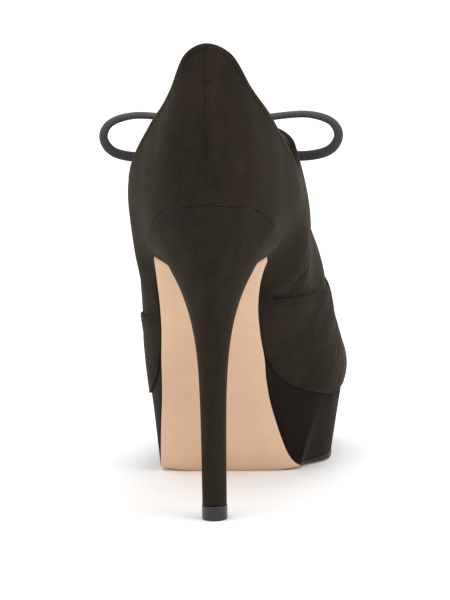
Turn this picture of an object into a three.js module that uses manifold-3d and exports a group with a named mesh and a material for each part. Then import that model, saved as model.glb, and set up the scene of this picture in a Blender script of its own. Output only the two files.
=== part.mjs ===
import * as THREE from 'three';
import { mergeVertices } from 'three/addons/utils/BufferGeometryUtils.js';
import Module from 'manifold-3d';

// Driving sizes in millimetres: X to the inner side of a left foot, Y to the toe, Z up
const SHOE_LENGTH = 204;
const BALL_WIDTH = 86;
const SEAT_HEIGHT = 131;
const BALL_LIFT = 32;
const FRONT_HEIGHT = 122;
const HEEL_ROUND = 28;
const TOE_ROUND = 46;
const TOE_SPRING = 7;
const BACK_SWELL = 1.6;
const UPPER_WALL = 2;
const SEAM_STEP = 1;
const BACK_RIDGE = 0.5;
const OUTSOLE_THICKNESS = 3;
const OUTSOLE_CAMBER = 2.1;
const INSOLE_THICKNESS = 2.5;
const TONGUE_THICKNESS = 1.8;
const TONGUE_RISE = 7;
const TONGUE_WIDTH = 36;
const TONGUE_DROP = 2.4;
const TONGUE_TOE_DROP = 1.5;
const TONGUE_LEAN = 0.3;
const HEEL_STEM_WIDTH = 10;
const HEEL_STEM_DEPTH = 10.5;
const HEEL_TIP_WIDTH = 10.5;
const HEEL_TIP_DEPTH = 11.5;
const HEEL_TIP_HEIGHT = 6;
const HEEL_TIP_CENTRE = 14;
const LACE_DIAMETER = 3;
const LACE_HOLE = 3.6;
const LACE_HOLE_INSET = 7;
const LACE_PAIRS = 4;
const CLEARANCE = 0.3;
const PLATFORM_EASE = 0.15;

// How finely each form is divided
const HEEL_STATIONS = 9;
const MIDDLE_STATIONS = 31;
const TOE_STATIONS = 9;
const ROWS_BELOW_SEAM = 6;
const ROWS_ABOVE_SEAM = 8;

// Bottom edge of the upper: along is a share of the length, rise a share of the seat's height over the ball,
// centre, lateral and medial are shares of the ball width
const BOTTOM_ROWS = [
  { along: 0.000, rise: 1.000, centre: 0.000, lateral: 0.271, medial: 0.271 },
  { along: 0.040, rise: 0.978, centre: 0.000, lateral: 0.272, medial: 0.271 },
  { along: 0.080, rise: 0.941, centre: 0.000, lateral: 0.277, medial: 0.271 },
  { along: 0.137, rise: 0.869, centre: 0.000, lateral: 0.297, medial: 0.295 },
  { along: 0.196, rise: 0.794, centre: 0.000, lateral: 0.313, medial: 0.298 },
  { along: 0.245, rise: 0.727, centre: 0.000, lateral: 0.300, medial: 0.259 },
  { along: 0.294, rise: 0.639, centre: 0.000, lateral: 0.295, medial: 0.221 },
  { along: 0.343, rise: 0.531, centre: 0.004, lateral: 0.295, medial: 0.192 },
  { along: 0.392, rise: 0.404, centre: 0.012, lateral: 0.302, medial: 0.177 },
  { along: 0.431, rise: 0.293, centre: 0.019, lateral: 0.315, medial: 0.178 },
  { along: 0.466, rise: 0.202, centre: 0.027, lateral: 0.335, medial: 0.194 },
  { along: 0.500, rise: 0.127, centre: 0.037, lateral: 0.363, medial: 0.230 },
  { along: 0.539, rise: 0.065, centre: 0.052, lateral: 0.405, medial: 0.297 },
  { along: 0.578, rise: 0.024, centre: 0.066, lateral: 0.433, medial: 0.376 },
  { along: 0.618, rise: 0.003, centre: 0.079, lateral: 0.458, medial: 0.428 },
  { along: 0.657, rise: 0.000, centre: 0.088, lateral: 0.471, medial: 0.459 },
  { along: 0.735, rise: 0.003, centre: 0.105, lateral: 0.483, medial: 0.464 },
  { along: 0.833, rise: 0.019, centre: 0.122, lateral: 0.478, medial: 0.452 },
  { along: 1.000, rise: 0.071, centre: 0.140, lateral: 0.478, medial: 0.455 },
];

// Top edge and ridge over the same stations: reach is a share of the length, height a share of the front
// height over the ball, lateral and medial shares of the ball width
const TOP_ROWS = [
  { along: 0.0000, reach: 0.0245, height: 1.344, lateral: 0.238, medial: 0.244 },
  { along: 0.0196, reach: 0.0392, height: 1.292, lateral: 0.234, medial: 0.254 },
  { along: 0.0441, reach: 0.0613, height: 1.208, lateral: 0.226, medial: 0.256 },
  { along: 0.0784, reach: 0.0907, height: 1.142, lateral: 0.234, medial: 0.268 },
  { along: 0.1373, reach: 0.1397, height: 1.061, lateral: 0.286, medial: 0.302 },
  { along: 0.1961, reach: 0.1961, height: 0.961, lateral: 0.365, medial: 0.365 },
  { along: 0.2451, reach: 0.2451, height: 0.888, lateral: 0.406, medial: 0.398 },
  { along: 0.2843, reach: 0.2819, height: 0.864, lateral: 0.414, medial: 0.400 },
  { along: 0.3235, reach: 0.3186, height: 0.871, lateral: 0.410, medial: 0.396 },
  { along: 0.3529, reach: 0.3505, height: 0.899, lateral: 0.398, medial: 0.384 },
  { along: 0.3824, reach: 0.3799, height: 0.942, lateral: 0.366, medial: 0.366 },
  { along: 0.4118, reach: 0.4069, height: 0.978, lateral: 0.302, medial: 0.302 },
  { along: 0.4412, reach: 0.4289, height: 0.997, lateral: 0.198, medial: 0.198 },
  { along: 0.4608, reach: 0.4436, height: 1.000, lateral: 0.093, medial: 0.093 },
  { along: 0.4902, reach: 0.4755, height: 0.922, lateral: 0.087, medial: 0.087 },
  { along: 0.5294, reach: 0.5270, height: 0.807, lateral: 0.076, medial: 0.076 },
  { along: 0.5686, reach: 0.5809, height: 0.687, lateral: 0.058, medial: 0.058 },
  { along: 0.5980, reach: 0.6225, height: 0.600, lateral: 0.036, medial: 0.036 },
  { along: 0.6201, reach: 0.6520, height: 0.546, lateral: 0.000, medial: 0.000 },
  { along: 0.6569, reach: 0.6912, height: 0.480, lateral: 0.000, medial: 0.000 },
  { along: 0.6961, reach: 0.7279, height: 0.428, lateral: 0.000, medial: 0.000 },
  { along: 0.7451, reach: 0.7696, height: 0.377, lateral: 0.000, medial: 0.000 },
  { along: 0.8039, reach: 0.8088, height: 0.339, lateral: 0.000, medial: 0.000 },
  { along: 0.8725, reach: 0.8407, height: 0.315, lateral: 0.000, medial: 0.000 },
  { along: 0.9412, reach: 0.8627, height: 0.300, lateral: 0.000, medial: 0.000 },
  { along: 1.0000, reach: 0.8725, height: 0.295, lateral: 0.000, medial: 0.000 },
];

// Side of the upper between the two edges: low is the fullness near the sole and high that near the top,
// each as a share of the ball width, with the share of the section's height at which it pulls
const SIDE_ROWS = [
  { along: 0.000, lowLat: 0.308, lowMed: 0.308, lowUp: 0.25, highLat: 0.273, highMed: 0.273, highUp: 0.68 },
  { along: 0.078, lowLat: 0.320, lowMed: 0.320, lowUp: 0.25, highLat: 0.273, highMed: 0.273, highUp: 0.68 },
  { along: 0.137, lowLat: 0.355, lowMed: 0.349, lowUp: 0.25, highLat: 0.326, highMed: 0.326, highUp: 0.66 },
  { along: 0.196, lowLat: 0.378, lowMed: 0.372, lowUp: 0.25, highLat: 0.395, highMed: 0.395, highUp: 0.65 },
  { along: 0.275, lowLat: 0.419, lowMed: 0.395, lowUp: 0.22, highLat: 0.442, highMed: 0.448, highUp: 0.64 },
  { along: 0.353, lowLat: 0.442, lowMed: 0.488, lowUp: 0.09, highLat: 0.442, highMed: 0.482, highUp: 0.55 },
  { along: 0.422, lowLat: 0.442, lowMed: 0.535, lowUp: 0.08, highLat: 0.480, highMed: 0.470, highUp: 0.62 },
  { along: 0.471, lowLat: 0.465, lowMed: 0.570, lowUp: 0.11, highLat: 0.510, highMed: 0.490, highUp: 0.76 },
  { along: 0.520, lowLat: 0.480, lowMed: 0.600, lowUp: 0.15, highLat: 0.490, highMed: 0.500, highUp: 0.88 },
  { along: 0.569, lowLat: 0.490, lowMed: 0.600, lowUp: 0.19, highLat: 0.453, highMed: 0.475, highUp: 0.96 },
  { along: 0.627, lowLat: 0.492, lowMed: 0.590, lowUp: 0.26, highLat: 0.395, highMed: 0.407, highUp: 1.00 },
  { along: 0.735, lowLat: 0.525, lowMed: 0.540, lowUp: 0.32, highLat: 0.360, highMed: 0.349, highUp: 1.00 },
  { along: 1.000, lowLat: 0.512, lowMed: 0.477, lowUp: 0.50, highLat: 0.326, highMed: 0.302, highUp: 1.00 },
];

// Height of the seam between quarter and vamp, as a share of each section's height
const SEAM_ROWS = [
  { along: 0.000, lateral: 0.00, medial: 0.00 },
  { along: 0.348, lateral: 0.00, medial: 0.00 },
  { along: 0.382, lateral: 0.00, medial: 0.10 },
  { along: 0.404, lateral: 0.06, medial: 0.16 },
  { along: 0.446, lateral: 0.16, medial: 0.25 },
  { along: 0.487, lateral: 0.25, medial: 0.335 },
  { along: 0.529, lateral: 0.34, medial: 0.44 },
  { along: 0.569, lateral: 0.49, medial: 0.565 },
  { along: 0.598, lateral: 0.72, medial: 0.755 },
  { along: 0.625, lateral: 0.98, medial: 0.98 },
  { along: 0.670, lateral: 0.93, medial: 0.93 },
  { along: 0.740, lateral: 0.78, medial: 0.78 },
  { along: 1.000, lateral: 0.60, medial: 0.60 },
];
const SEAM_START = { lateral: 0.386, medial: 0.352 };
const SEAM_FRONT = 0.622;
const SEAM_LOWEST = 0.012;
const SEAM_HIGHEST = 0.985;
const SEAM_WIDTH = 0.004;
const THROAT_END = 0.6201;
const FACING_TOP = 0.4608;

// Underside of the outsole behind the ball, by the station of the upper over it: reach is a share of the
// length, height a share of the ball lift, lateral and medial shares of the ball width
const SOLE_ROWS = [
  { over: 0.456, reach: 0.4370, height: 1.660, lateral: 0.302, medial: 0.210 },
  { over: 0.482, reach: 0.4559, height: 1.430, lateral: 0.303, medial: 0.211 },
  { over: 0.520, reach: 0.4853, height: 1.060, lateral: 0.308, medial: 0.224 },
  { over: 0.549, reach: 0.5098, height: 0.700, lateral: 0.318, medial: 0.254 },
  { over: 0.571, reach: 0.5294, height: 0.370, lateral: 0.325, medial: 0.290 },
  { over: 0.586, reach: 0.5441, height: 0.120, lateral: 0.329, medial: 0.330 },
  { over: 0.600, reach: 0.5588, height: 0.000, lateral: 0.333, medial: 0.375 },
];
const FLOOR_END = 0.80;
const SIDE_TAPER = 0.15;
const SOLE_SPREAD = 3.4;
const CAMBER_FADE = 0.72;
const FRONT_CAMBER = 0.35;
const SOLE_COLUMNS = [0, 0.1, 0.25, 0.75, 0.9, 1];
const BREAST = 0.248;

// Small helpers
const millimetres = (share, size) => share * size;
const mix = (a, b, share) => a + (b - a) * share;
const clamp = (value, low, high) => Math.min(high, Math.max(low, value));
const smooth = (value) => value * value * (3 - 2 * value);

function tangents(xs, ys) {
  const slopes = [];
  for (let i = 0; i < xs.length - 1; i += 1) {
    slopes.push((ys[i + 1] - ys[i]) / (xs[i + 1] - xs[i]));
  }
  const result = [slopes[0]];
  for (let i = 1; i < xs.length - 1; i += 1) {
    const before = slopes[i - 1];
    const after = slopes[i];
    result.push(before * after <= 0 ? 0 : (2 * before * after) / (before + after));
  }
  result.push(slopes[slopes.length - 1]);
  return result;
}

// A smooth reader for one table: it returns every column at any station without overshoot
function reader(rows, key) {
  const xs = rows.map((row) => row[key]);
  const columns = Object.keys(rows[0]).filter((name) => name !== key);
  const slopes = {};
  for (const name of columns) {
    slopes[name] = tangents(xs, rows.map((row) => row[name]));
  }
  return (at) => {
    const x = clamp(at, xs[0], xs[xs.length - 1]);
    let i = 0;
    while (i < xs.length - 2 && x > xs[i + 1]) {
      i += 1;
    }
    const span = xs[i + 1] - xs[i];
    const s = (x - xs[i]) / span;
    const result = {};
    for (const name of columns) {
      const a = rows[i][name];
      const b = rows[i + 1][name];
      const ma = slopes[name][i] * span;
      const mb = slopes[name][i + 1] * span;
      result[name] = a * (1 + 2 * s) * (1 - s) ** 2 + ma * s * (1 - s) ** 2
        + b * s * s * (3 - 2 * s) - mb * s * s * (1 - s);
    }
    return result;
  };
}

const bottomAt = reader(BOTTOM_ROWS, 'along');
const topAt = reader(TOP_ROWS, 'along');
const sideAt = reader(SIDE_ROWS, 'along');
const seamAt = reader(SEAM_ROWS, 'along');
const soleAt = reader(SOLE_ROWS, 'over');

// Stations crowd together where heel and toe turn round
const TOE_TURN = 0.72;
const heelShare = HEEL_ROUND / SHOE_LENGTH;
const toeShare = TOE_ROUND / SHOE_LENGTH;
const STATIONS = HEEL_STATIONS + MIDDLE_STATIONS + TOE_STATIONS;

function alongAt(place) {
  if (place <= HEEL_STATIONS) {
    return heelShare * (1 - Math.cos((Math.PI / 2) * (place / HEEL_STATIONS)));
  }
  if (place >= HEEL_STATIONS + MIDDLE_STATIONS) {
    const left = (STATIONS - place) / TOE_STATIONS;
    return 1 - toeShare * (1 - Math.cos((Math.PI / 2) * left));
  }
  return mix(heelShare, 1 - toeShare, (place - HEEL_STATIONS) / MIDDLE_STATIONS);
}

function placeOf(along) {
  if (along <= heelShare) {
    return (HEEL_STATIONS * Math.acos(1 - along / heelShare)) / (Math.PI / 2);
  }
  if (along >= 1 - toeShare) {
    return STATIONS - (TOE_STATIONS * Math.acos(1 - (1 - along) / toeShare)) / (Math.PI / 2);
  }
  return HEEL_STATIONS + (MIDDLE_STATIONS * (along - heelShare)) / (1 - toeShare - heelShare);
}

function roundness(along) {
  const back = clamp(1 - along / heelShare, 0, 1);
  const front = clamp((along - (1 - toeShare)) / toeShare, 0, 1);
  return Math.sqrt(Math.max(0, 1 - back * back)) * Math.sqrt(Math.max(0, 1 - front * front));
}

function bottomEdge(along) {
  const row = bottomAt(along);
  const round = roundness(along);
  const centre = millimetres(row.centre, BALL_WIDTH);
  return {
    centre,
    y: millimetres(along, SHOE_LENGTH),
    z: BALL_LIFT + millimetres(row.rise, SEAT_HEIGHT - BALL_LIFT),
    lateral: centre - millimetres(row.lateral, BALL_WIDTH) * round,
    medial: centre + millimetres(row.medial, BALL_WIDTH) * round,
  };
}

function bezier(a, b, c, d, t) {
  const s = 1 - t;
  return s * s * s * a + 3 * s * s * t * b + 3 * s * t * t * c + t * t * t * d;
}

// Outer face of the last: place counts stations, t runs from the bottom edge to the top edge, side is -1 or 1
function lastPoint(place, t, side) {
  const along = alongAt(place);
  const foot = bottomAt(along);
  const top = topAt(along);
  const wall = sideAt(along);
  const lateral = side < 0;
  const start = lateral ? foot.lateral : foot.medial;
  const swell = lateral ? wall.lowLat : wall.lowMed;
  const shoulder = lateral ? wall.highLat : wall.highMed;
  const end = lateral ? top.lateral : top.medial;
  const half = bezier(start, swell, shoulder, end, t);
  const up = bezier(0, wall.lowUp, wall.highUp, 1, t);
  const toward = smooth(clamp((along - TOE_TURN) / (1 - TOE_TURN), 0, 1));
  const narrowing = 1 - half / Math.max(start, 1e-6);
  const forward = mix(up, clamp(narrowing, -0.05, 1), toward);
  const base = bottomEdge(along);
  const ridgeY = millimetres(top.reach, SHOE_LENGTH);
  const ridgeZ = BALL_LIFT + millimetres(top.height, FRONT_HEIGHT);
  const round = roundness(along);
  const backing = BACK_SWELL * 4 * up * (1 - up) * clamp(1 - along / heelShare, 0, 1);
  return new THREE.Vector3(
    base.centre + side * millimetres(half, BALL_WIDTH) * round,
    mix(base.y, ridgeY, forward) - backing,
    mix(base.z, ridgeZ, up),
  );
}

function lastNormal(place, t, side) {
  const ahead = 0.02;
  const above = 0.002;
  const before = Math.max(0, place - ahead);
  const after = Math.min(STATIONS, place + ahead);
  const low = Math.max(0, t - above);
  const high = Math.min(1, t + above);
  const along = lastPoint(after, t, side).sub(lastPoint(before, t, side));
  const up = lastPoint(place, high, side).sub(lastPoint(place, low, side));
  return along.cross(up).multiplyScalar(side).normalize();
}

// A point at a distance outside the last, or inside it when the distance is negative
function shell(place, t, side, distance) {
  return lastPoint(place, t, side).addScaledVector(lastNormal(place, t, side), distance);
}

// The value of t at which a section reaches a share of its height
function rowAtHeight(along, share) {
  const wall = sideAt(along);
  let low = 0;
  let high = 1;
  for (let i = 0; i < 24; i += 1) {
    const middle = (low + high) / 2;
    if (bezier(0, wall.lowUp, wall.highUp, 1, middle) < share) {
      low = middle;
    } else {
      high = middle;
    }
  }
  return (low + high) / 2;
}

function solid(points, triangles) {
  const geometry = new THREE.BufferGeometry();
  const numbers = points.flatMap((p) => [p.x, p.y, p.z]);
  geometry.setAttribute('position', new THREE.Float32BufferAttribute(numbers, 3));
  geometry.setIndex(triangles.flat());
  geometry.computeVertexNormals();
  return geometry;
}

// Points nearer than this are one point
const MERGE = 1e-4;

const wasm = await Module();
wasm.setup();

function toManifold(geometry) {
  const plain = geometry.clone();
  plain.deleteAttribute('normal');
  plain.deleteAttribute('uv');
  const merged = mergeVertices(plain, MERGE);
  return new wasm.Manifold(new wasm.Mesh({
    numProp: 3,
    vertProperties: new Float32Array(merged.attributes.position.array),
    triVerts: new Uint32Array(merged.index.array),
  }));
}

function fromManifold(manifold) {
  const mesh = manifold.getMesh();
  const geometry = new THREE.BufferGeometry();
  geometry.setAttribute('position', new THREE.BufferAttribute(new Float32Array(mesh.vertProperties), 3));
  geometry.setIndex(new THREE.BufferAttribute(new Uint32Array(mesh.triVerts), 1));
  geometry.computeVertexNormals();
  return geometry;
}

// Rows of the upper at one station, each with its place on the section and whether it lies below the seam
function upperRows(along, side) {
  const seam = seamAt(along);
  const share = clamp(side < 0 ? seam.lateral : seam.medial, SEAM_LOWEST, SEAM_HIGHEST);
  const split = rowAtHeight(along, share);
  const rows = [];
  for (let j = 0; j <= ROWS_BELOW_SEAM; j += 1) {
    rows.push({ t: (split * j) / ROWS_BELOW_SEAM, below: true });
  }
  const gap = Math.min(SEAM_WIDTH, (1 - split) / 4);
  for (let j = 0; j <= ROWS_ABOVE_SEAM; j += 1) {
    rows.push({ t: mix(split + gap, 1, j / ROWS_ABOVE_SEAM), below: false });
  }
  return rows;
}

// The vamp stands proud of the quarters by one step
function liftAt(along, row, side) {
  const start = side < 0 ? SEAM_START.lateral : SEAM_START.medial;
  const from = row.below ? start : SEAM_FRONT;
  return along >= from ? SEAM_STEP : 0;
}

// The back seam stands up as a narrow ridge
function ridgeAt(place, row) {
  return place === 0 && !row.below ? BACK_RIDGE : 0;
}

function upperGeometry() {
  const points = [];
  const triangles = [];
  const known = new Map();
  const rowCount = ROWS_BELOW_SEAM + ROWS_ABOVE_SEAM + 2;
  const throat = placeOf(THROAT_END) - 0.5;
  const shared = (i, j) => i === 0 || i === STATIONS || (j === rowCount - 1 && i >= throat);
  const vertex = (i, j, side, inner) => {
    const key = [i, j, shared(i, j) ? 0 : side, inner].join();
    if (!known.has(key)) {
      const along = alongAt(i);
      const row = upperRows(along, side)[j];
      const out = liftAt(along, row, side) + ridgeAt(i, row);
      const distance = inner ? -UPPER_WALL : out;
      const point = shell(i, row.t, side, distance);
      if (j === rowCount - 1 && i >= throat) {
        point.x = bottomEdge(along).centre;
      }
      if (i === 0 || i === STATIONS) {
        point.x = bottomEdge(along).centre;
      }
      known.set(key, points.length);
      points.push(point);
    }
    return known.get(key);
  };
  const quad = (a, b, c, d, flip) => {
    if (flip) {
      triangles.push([a, c, b], [a, d, c]);
    } else {
      triangles.push([a, b, c], [a, c, d]);
    }
  };
  for (const side of [-1, 1]) {
    for (let i = 0; i < STATIONS; i += 1) {
      for (let j = 0; j < rowCount - 1; j += 1) {
        for (const inner of [false, true]) {
          const corners = [[i, j], [i + 1, j], [i + 1, j + 1], [i, j + 1]];
          const [a, b, c, d] = corners.map(([m, n]) => vertex(m, n, side, inner));
          quad(a, b, c, d, (side < 0) !== inner);
        }
      }
      quad(vertex(i, 0, side, true), vertex(i + 1, 0, side, true),
        vertex(i + 1, 0, side, false), vertex(i, 0, side, false), side < 0);
      if (!(shared(i, rowCount - 1) && shared(i + 1, rowCount - 1)) || i === 0) {
        const top = rowCount - 1;
        quad(vertex(i, top, side, false), vertex(i + 1, top, side, false),
          vertex(i + 1, top, side, true), vertex(i, top, side, true), side < 0);
      }
    }
  }
  return solid(points, triangles);
}

// A closed plate between an upper and a lower grid of points of equal size
function plate(upper, lower) {
  const rows = upper.length;
  const columns = upper[0].length;
  const points = [...upper.flat(), ...lower.flat()];
  const triangles = [];
  const top = (i, j) => i * columns + j;
  const under = (i, j) => (rows + i) * columns + j;
  const quad = (a, b, c, d) => triangles.push([a, b, c], [a, c, d]);
  for (let i = 0; i < rows - 1; i += 1) {
    for (let j = 0; j < columns - 1; j += 1) {
      quad(top(i, j), top(i, j + 1), top(i + 1, j + 1), top(i + 1, j));
      quad(under(i, j), under(i + 1, j), under(i + 1, j + 1), under(i, j + 1));
    }
    const edge = columns - 1;
    quad(top(i, 0), top(i + 1, 0), under(i + 1, 0), under(i, 0));
    quad(top(i, edge), under(i, edge), under(i + 1, edge), top(i + 1, edge));
  }
  for (let j = 0; j < columns - 1; j += 1) {
    const end = rows - 1;
    quad(top(0, j), under(0, j), under(0, j + 1), top(0, j + 1));
    quad(top(end, j), top(end, j + 1), under(end, j + 1), under(end, j));
  }
  return solid(points, triangles);
}

// A point below the bottom edge, square to the run of the bottom
function underBottom(along, distance) {
  const edge = bottomEdge(along);
  const step = 0.002;
  const ahead = bottomEdge(Math.min(1, along + step));
  const behind = bottomEdge(Math.max(0, along - step));
  const run = new THREE.Vector2(ahead.y - behind.y, ahead.z - behind.z).normalize();
  return { ...edge, y: edge.y + run.y * distance, z: edge.z - run.x * distance };
}

const across = (row) => [
  new THREE.Vector3(row.lateral, row.y, row.z),
  new THREE.Vector3(row.medial, row.y, row.z),
];

// Height of the bottom at any distance along the shoe
const bottomHeight = (y) => bottomEdge(clamp(y / SHOE_LENGTH, 0, 1)).z;

// Insole board, inside the wall of the upper
function insoleGeometry() {
  const depth = UPPER_WALL + CLEARANCE;
  const upper = [];
  const lower = [];
  for (let place = 1; place < STATIONS; place += 1) {
    const edge = [-1, 1].map((side) => {
      const along = alongAt(place);
      const point = shell(place, 0, side, -depth);
      const foot = bottomEdge(along);
      const narrow = (side < 0 ? foot.lateral : foot.medial) - side * depth * roundness(along);
      point.x = side * Math.min(side * point.x, side * narrow);
      point.z = bottomHeight(point.y);
      return point;
    });
    const lift = underBottom(clamp(edge[0].y / SHOE_LENGTH, 0, 1), -INSOLE_THICKNESS);
    const run = lift.y - edge[0].y;
    const rise = lift.z - edge[0].z;
    lower.push(edge);
    upper.push(edge.map((p) => new THREE.Vector3(p.x, p.y + run, p.z + rise)));
  }
  return plate(upper, lower);
}

// Rows of the outsole's underside from the heel breast to the toe, on the stations of the upper
function outsoleRows() {
  const rows = [];
  const depth = CLEARANCE + OUTSOLE_THICKNESS;
  const wedge = Math.ceil(placeOf(SOLE_ROWS[0].over));
  const contact = SOLE_ROWS[SOLE_ROWS.length - 1];
  const inset = SIDE_TAPER * BALL_LIFT;
  const tip = 1 - inset / SHOE_LENGTH;
  for (let place = Math.ceil(placeOf(BREAST)); place < wedge; place += 1) {
    const over = alongAt(place);
    rows.push({ ...underBottom(over, depth), over });
  }
  rows[0].y = Math.max(rows[0].y, millimetres(BREAST, SHOE_LENGTH) + CLEARANCE);
  for (let place = wedge; alongAt(place) < contact.over; place += 0.5) {
    const row = soleAt(alongAt(place));
    rows.push({
      y: millimetres(row.reach, SHOE_LENGTH),
      z: millimetres(row.height, BALL_LIFT),
      lateral: -millimetres(row.lateral, BALL_WIDTH),
      medial: millimetres(row.medial, BALL_WIDTH),
      over: alongAt(place),
    });
  }
  for (let place = Math.ceil(placeOf(contact.over)); place < STATIONS; place += 1) {
    const over = alongAt(place === STATIONS - 1 ? STATIONS - 0.5 : place);
    const share = (over - contact.over) / (1 - contact.over);
    const reach = mix(contact.reach, tip, share);
    const edge = bottomEdge(over);
    const round = roundness(over);
    const start = smooth(clamp(share * SOLE_SPREAD, 0, 1));
    const spring = clamp((reach - FLOOR_END) / (tip - FLOOR_END), 0, 1);
    rows.push({
      y: millimetres(reach, SHOE_LENGTH),
      z: TOE_SPRING * spring * spring,
      lateral: mix(-millimetres(contact.lateral, BALL_WIDTH), edge.lateral + inset * round, start),
      medial: mix(millimetres(contact.medial, BALL_WIDTH), edge.medial - inset * round, start),
      over,
    });
  }
  return rows;
}

function raised(rows, i, distance) {
  const before = rows[Math.max(0, i - 1)];
  const after = rows[Math.min(rows.length - 1, i + 1)];
  const run = new THREE.Vector2(after.y - before.y, after.z - before.z).normalize();
  return { ...rows[i], y: rows[i].y - run.y * distance, z: rows[i].z + run.x * distance };
}

const soleRows = outsoleRows();

// A row of the sole in columns, its edges rolled up by the camber
function rolled(i, distance, camber) {
  const level = raised(soleRows, i, distance);
  const above = raised(soleRows, i, distance + camber);
  return SOLE_COLUMNS.map((share) => {
    const roll = Math.max(0, 2 * Math.abs(2 * share - 1) - 1) ** 2;
    return new THREE.Vector3(
      mix(level.lateral, level.medial, share),
      mix(level.y, above.y, roll),
      mix(level.z, above.z, roll),
    );
  });
}

function outsoleGeometry() {
  const upper = soleRows.map((row, i) => rolled(i, OUTSOLE_THICKNESS, 0));
  const end = soleRows[0];
  const seatZ = underBottom(end.y / SHOE_LENGTH, CLEARANCE).z;
  upper[0].forEach((point) => point.set(point.x, end.y, seatZ));
  const lower = soleRows.map((row, i) => {
    const fade = smooth(clamp((CAMBER_FADE - row.over) / (CAMBER_FADE - SOLE_ROWS.at(-1).over), 0, 1));
    return rolled(i, 0, OUTSOLE_CAMBER * mix(FRONT_CAMBER, 1, fade));
  });
  return plate(upper, lower);
}

// Covered platform: the wedge between the bottom of the upper and the outsole
function platformGeometry() {
  const upper = [];
  const lower = [];
  soleRows.forEach((row, i) => {
    if (placeOf(row.over) < Math.ceil(placeOf(SOLE_ROWS[0].over)) - 0.01) {
      return;
    }
    upper.push(across(underBottom(row.over, CLEARANCE + PLATFORM_EASE)));
    lower.push(across(raised(soleRows, i, OUTSOLE_THICKNESS + CLEARANCE)));
  });
  return plate(upper, lower);
}

// Heel: levels are shares of its height, the flares say how late each side spreads to the seat
const BREAST_POINTS = 3;
const HEEL_LEVELS = [0, 0.2, 0.4, 0.54, 0.64, 0.72, 0.79, 0.85, 0.9, 0.94, 0.97, 0.988, 1];
const SIDE_FLARE = 4.9;
const BACK_FLARE = 3;
const BREAST_FLARE = 14;
const BREAST_START = 0.72;
const STEM_TAPER = 0.03;
const STEM_NARROWING = 0.22;
const BREAST_HOLLOW = 0.06;
const TIP_POINTS = 10;
const TIP_TURN = 0.65;

// One level of the heel's stem: back is the rearmost point, then each side in turn to the breast
function stemRing(width, depth, centre, z, count, turn) {
  const half = [];
  const back = centre - depth / 2;
  for (let i = 0; i <= count; i += 1) {
    const share = i / count;
    const angle = (Math.PI / 2) * Math.min(1, share / turn);
    const beyond = clamp((share - turn) / (1 - turn), 0, 1);
    half.push(new THREE.Vector3(
      (width / 2) * Math.sin(angle) * (1 - STEM_NARROWING * beyond * beyond),
      back + (depth / 2) * (1 - Math.cos(angle) + beyond),
      z,
    ));
  }
  return half;
}

function ringOf(medial, lateral, middle) {
  const left = lateral.slice(1).reverse();
  return [...left, ...medial, ...middle];
}

// Triangles that close such a ring, side to side from the back to the breast
function ringCap(count, middles, offset, flip) {
  const triangles = [];
  const left = (i) => offset + count - i;
  const right = (i) => offset + count + i;
  const push = (a, b, c) => triangles.push(flip ? [a, c, b] : [a, b, c]);
  for (let i = 0; i < count; i += 1) {
    if (i > 0) {
      push(left(i), right(i), right(i + 1));
      push(left(i), right(i + 1), left(i + 1));
    } else {
      push(left(0), right(1), left(1));
    }
  }
  const start = right(count);
  for (let k = 0; k < middles; k += 1) {
    push(left(count), start + k, start + k + 1);
  }
  return triangles;
}

function heelGeometry() {
  const lastPlace = placeOf(BREAST);
  const count = Math.ceil(lastPlace);
  const turn = HEEL_STATIONS / count;
  const stemZ = HEEL_TIP_HEIGHT + CLEARANCE;
  const stem = stemRing(HEEL_STEM_WIDTH, HEEL_STEM_DEPTH, HEEL_TIP_CENTRE, stemZ, count, turn);
  const seat = { lateral: [], medial: [] };
  for (let i = 0; i <= count; i += 1) {
    const along = alongAt(Math.min(i, lastPlace));
    const edge = underBottom(along, CLEARANCE);
    const y = Math.min(edge.y, millimetres(BREAST, SHOE_LENGTH) - CLEARANCE);
    seat.lateral.push(new THREE.Vector3(edge.lateral, y, edge.z));
    seat.medial.push(new THREE.Vector3(edge.medial, y, edge.z));
  }
  const flare = (level, power) => mix(level ** power, level, STEM_TAPER);
  const rib = (from, to, level, sidePower, runPower) => new THREE.Vector3(
    mix(from.x, to.x, flare(level, sidePower)),
    mix(from.y, to.y, flare(level, runPower)),
    mix(from.z, to.z, level),
  );
  const rings = HEEL_LEVELS.map((level) => {
    const sides = {};
    for (const name of ['lateral', 'medial']) {
      sides[name] = seat[name].map((to, i) => {
        const from = stem[i].clone();
        from.x *= name === 'lateral' ? -1 : 1;
        const near = smooth(clamp((i / count - BREAST_START) / (1 - BREAST_START), 0, 1));
        const side = mix(SIDE_FLARE, BREAST_FLARE, near);
        const run = mix(BACK_FLARE, side, smooth(clamp(i / count / turn, 0, 1)));
        return rib(from, to, level, side, run);
      });
    }
    const middle = [];
    const a = sides.medial[count];
    const b = sides.lateral[count];
    for (let k = 1; k <= BREAST_POINTS; k += 1) {
      const share = k / (BREAST_POINTS + 1);
      const point = a.clone().lerp(b, share);
      point.y -= Math.sin(Math.PI * share) * BREAST_HOLLOW * (a.x - b.x);
      middle.push(point);
    }
    return ringOf(sides.medial, sides.lateral, middle);
  });
  return ringSolid(rings, count, BREAST_POINTS);
}

function ringSolid(rings, count, middles) {
  const size = rings[0].length;
  const points = rings.flat();
  const triangles = [];
  for (let i = 0; i < rings.length - 1; i += 1) {
    for (let j = 0; j < size; j += 1) {
      const a = i * size + j;
      const b = i * size + ((j + 1) % size);
      triangles.push([a, b, b + size], [a, b + size, a + size]);
    }
  }
  triangles.push(...ringCap(count, middles, 0, true));
  triangles.push(...ringCap(count, middles, (rings.length - 1) * size, false));
  return solid(points, triangles);
}

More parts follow.
